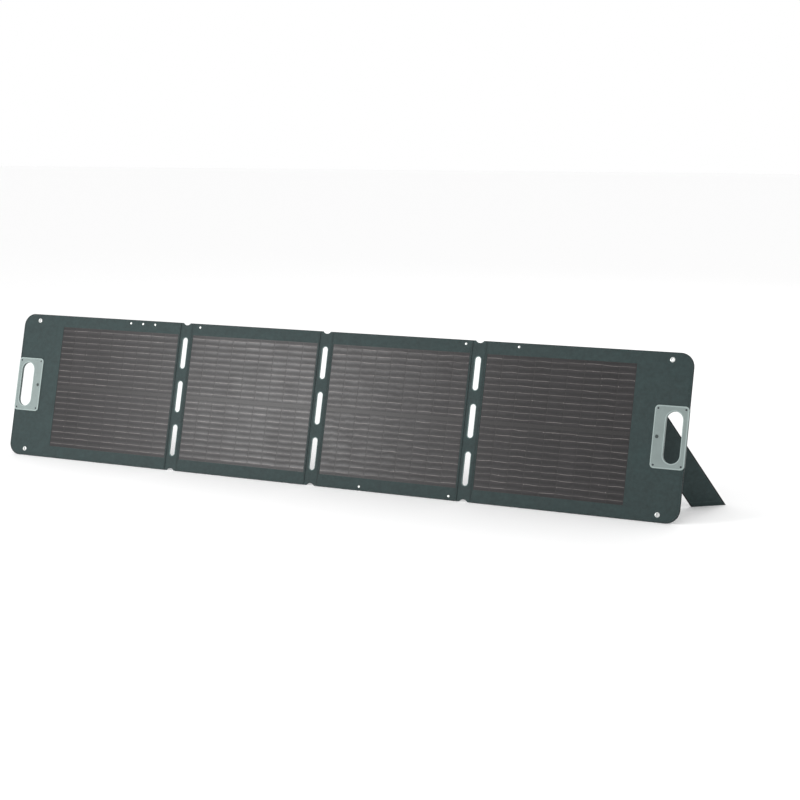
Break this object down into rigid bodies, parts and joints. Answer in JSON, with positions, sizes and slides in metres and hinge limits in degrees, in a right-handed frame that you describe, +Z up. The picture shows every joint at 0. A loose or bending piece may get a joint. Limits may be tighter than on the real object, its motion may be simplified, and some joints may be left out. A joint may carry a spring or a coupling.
{
  "type": "folding solar panel",
  "caption": "Folding cloth-covered solar panel in hinged segments, leaning back on swing-out rear kickstands, with a carrying handle at each end.",
  "frame": {"origin": "middle of the footprint, on the ground that the panel and its feet stand on", "axes": "+X along the row of segments to the right as seen from the front, +Y towards the back, +Z up"},
  "size_m": [2.2912, 0.2978, 0.4376],
  "materials": {
    "face_cloth": "slate green laminated cloth with a fine texture",
    "solar_cell": "dark warm grey solar wafer under a matt clear film",
    "busbar": "thin tinned ribbon",
    "core_board": "glass-fibre board",
    "back_cloth": "black woven oxford cloth",
    "rivet_metal": "satin rivet",
    "band_cloth": "slate green flexible laminate",
    "eyelet_metal": "satin rolled eyelet",
    "handle_plastic": "light grey moulded plastic",
    "screw_steel": "darkened steel",
    "stud_plastic": "dark grey moulded plastic",
    "hinge_plastic": "black moulded nylon",
    "pin_steel": "bright steel",
    "stand_cloth": "dark slate woven cloth",
    "stand_board": "glass-fibre board",
    "box_plastic": "black moulded plastic",
    "gasket_rubber": "soft rubber",
    "circuit_board": "green solder mask",
    "socket_plastic": "black moulded plastic"
  },
  "bodies": {
    "segment_1": {"face_sheet_1": "face_cloth", "solar_cells_1": "solar_cell", "busbars_1": "busbar", "core_board_1": "core_board", "back_cover_1": "back_cloth", "edge_rivets_1": "rivet_metal", "fold_band_1_left": "band_cloth", "eyelets_left": "eyelet_metal", "handle_front_left": "handle_plastic", "handle_back_left": "handle_plastic", "handle_screws_left": "screw_steel", "handle_stud_left": "stud_plastic", "stand_hinge_base_left": "hinge_plastic", "stand_hinge_pin_left": "pin_steel", "stand_base_rivets_left": "rivet_metal"},
    "segment_2": {"face_sheet_2": "face_cloth", "solar_cells_2": "solar_cell", "busbars_2": "busbar", "core_board_2": "core_board", "back_cover_2": "back_cloth", "edge_rivets_2": "rivet_metal", "fold_band_1_right": "band_cloth", "fold_band_2_left": "band_cloth"},
    "segment_3": {"face_sheet_3": "face_cloth", "solar_cells_3": "solar_cell", "busbars_3": "busbar", "core_board_3": "core_board", "back_cover_3": "back_cloth", "edge_rivets_3": "rivet_metal", "fold_band_2_right": "band_cloth", "fold_band_3_left": "band_cloth"},
    "segment_4": {"face_sheet_4": "face_cloth", "solar_cells_4": "solar_cell", "busbars_4": "busbar", "core_board_4": "core_board", "back_cover_4": "back_cloth", "edge_rivets_4": "rivet_metal", "fold_band_3_right": "band_cloth", "eyelets_right": "eyelet_metal", "handle_front_right": "handle_plastic", "handle_back_right": "handle_plastic", "handle_screws_right": "screw_steel", "handle_stud_right": "stud_plastic", "stand_hinge_base_right": "hinge_plastic", "stand_hinge_pin_right": "pin_steel", "stand_base_rivets_right": "rivet_metal", "junction_box": "box_plastic", "junction_box_gasket": "gasket_rubber", "junction_box_lid": "box_plastic", "junction_box_screws": "screw_steel", "diode_board": "circuit_board", "output_socket": "socket_plastic"},
    "stand_left": {"stand_shoe_left": "hinge_plastic", "stand_shoe_rivets_left": "rivet_metal", "stand_cover_left": "stand_cloth", "stand_board_left": "stand_board"},
    "stand_right": {"stand_shoe_right": "hinge_plastic", "stand_shoe_rivets_right": "rivet_metal", "stand_cover_right": "stand_cloth", "stand_board_right": "stand_board"}
  },
  "joints": [
    {"name": "fold_2", "type": "hinge", "parent": "segment_2", "child": "segment_3", "pos_m": [0, -0.08914, 0.21795], "axis": [0, 0.2419, 0.9703], "range_deg": [0, 180]},
    {"name": "fold_1", "type": "hinge", "parent": "segment_2", "child": "segment_1", "pos_m": [-0.487, -0.09593, 0.21965], "axis": [0, 0.2419, 0.9703], "range_deg": [0, 180]},
    {"name": "fold_3", "type": "hinge", "parent": "segment_3", "child": "segment_4", "pos_m": [0.487, -0.09593, 0.21965], "axis": [0, -0.2419, -0.9703], "range_deg": [0, 180]},
    {"name": "stand_swing_left", "type": "hinge", "parent": "segment_1", "child": "stand_left", "pos_m": [-0.97021, -0.06714, 0.29337], "axis": [0.4305, -0.2184, -0.8758], "range_deg": [0, 132.7]},
    {"name": "stand_swing_right", "type": "hinge", "parent": "segment_4", "child": "stand_right", "pos_m": [0.97021, -0.06714, 0.29337], "axis": [0.4305, 0.2184, 0.8758], "range_deg": [0, 132.7]}
  ],
  "couplings": [
    {"joint": "fold_1", "follows": "fold_2", "ratio": 1},
    {"joint": "fold_3", "follows": "fold_2", "ratio": 1}
  ]
}
